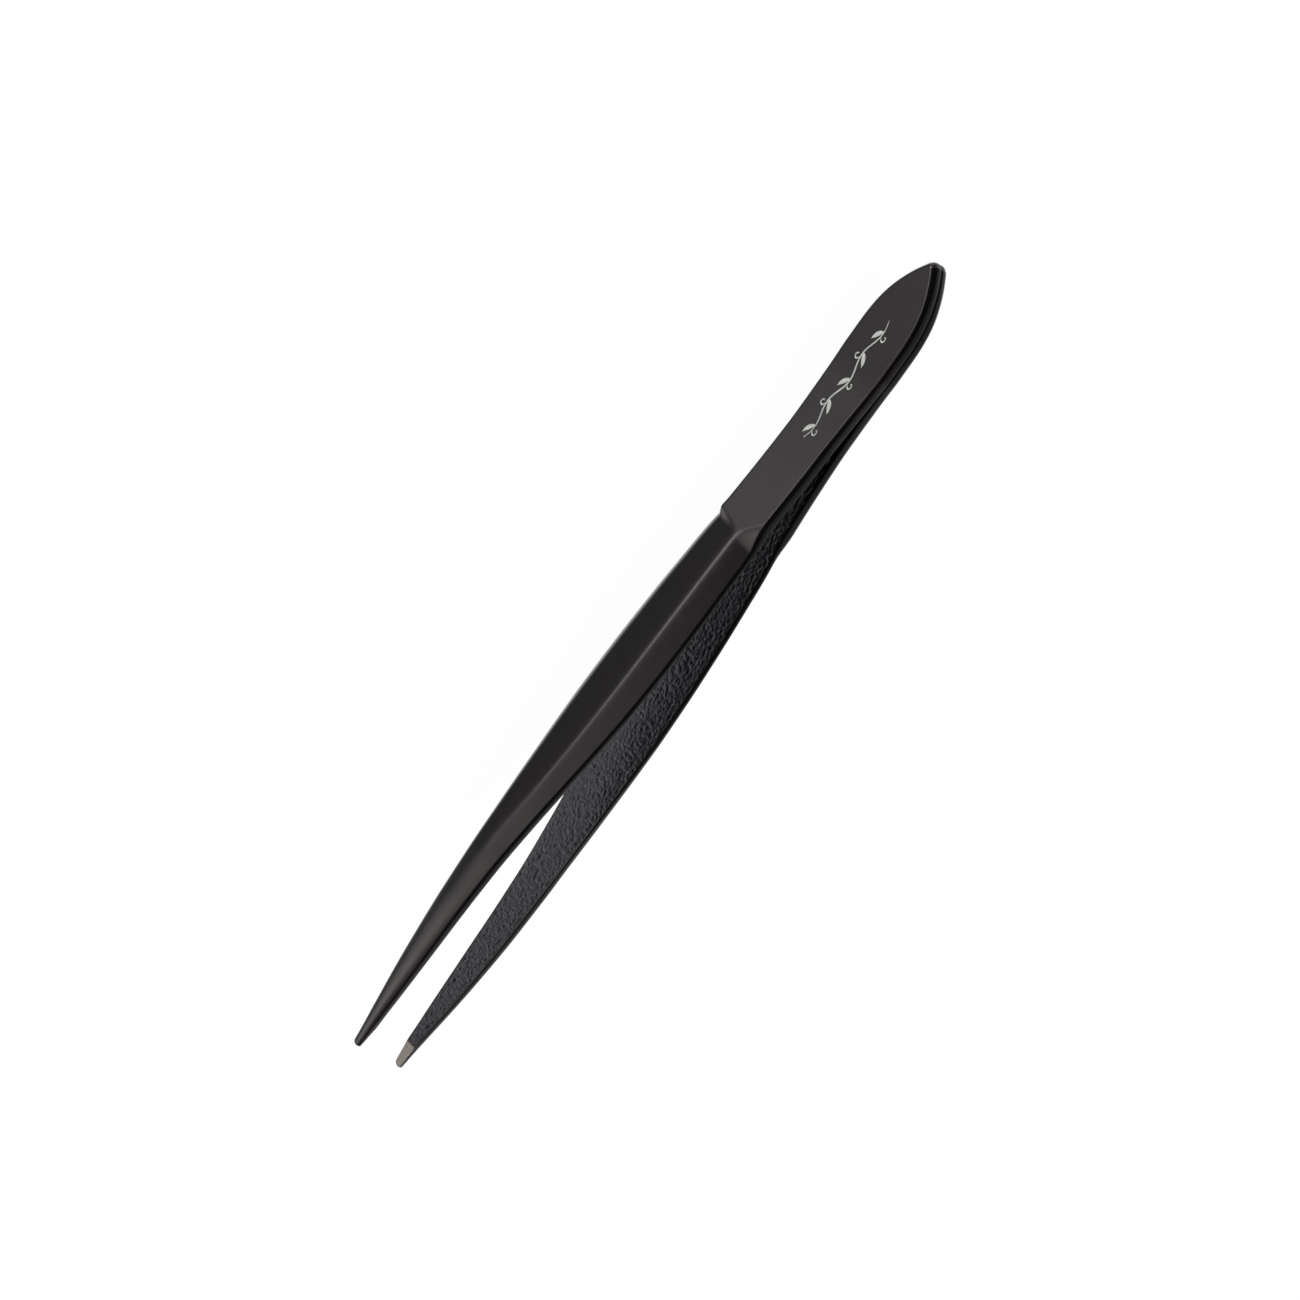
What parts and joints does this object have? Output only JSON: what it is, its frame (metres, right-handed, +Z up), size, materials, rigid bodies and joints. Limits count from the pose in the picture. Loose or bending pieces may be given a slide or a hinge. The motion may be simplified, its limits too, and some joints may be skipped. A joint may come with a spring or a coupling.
{
  "type": "slant tweezers",
  "caption": "Black satin slant tweezers: mirrored spring-steel arms welded at a flat pointed heel, ridged leaf-shaped blades, textured inner faces and bare ground slanted tips.",
  "frame": {"origin": "under the middle of the tool, on the plane that its side edges rest on", "axes": "+X from the heel to the tips, +Y across the gap from the front arm to the rear arm, +Z up through the width of the arms"},
  "size_m": [0.095, 0.0084, 0.0094],
  "materials": {
    "black_coating": "satin warm black baked coating, smooth outside and pebbled inside the arms",
    "bare_steel": "fine ground stainless steel"
  },
  "bodies": {
    "heel": {"front_heel": "black_coating", "rear_heel": "black_coating", "spot_welds": "bare_steel", "nose_weld": "black_coating"},
    "front_arm": {"front_blade": "black_coating"},
    "rear_arm": {"rear_blade": "black_coating"}
  },
  "joints": [
    {"name": "front_flex", "type": "hinge", "parent": "heel", "child": "front_arm", "pos_m": [-0.0215, -0.00104, 0.0047], "axis": [0, 0, 1], "range_deg": [0, 2.31], "stiffness_Nm_per_rad": 3},
    {"name": "rear_flex", "type": "hinge", "parent": "heel", "child": "rear_arm", "pos_m": [-0.0215, 0.00104, 0.0047], "axis": [0, 0, -1], "range_deg": [0, 2.31], "stiffness_Nm_per_rad": 3}
  ],
  "couplings": [
    {"joint": "rear_flex", "follows": "front_flex", "ratio": 1}
  ]
}
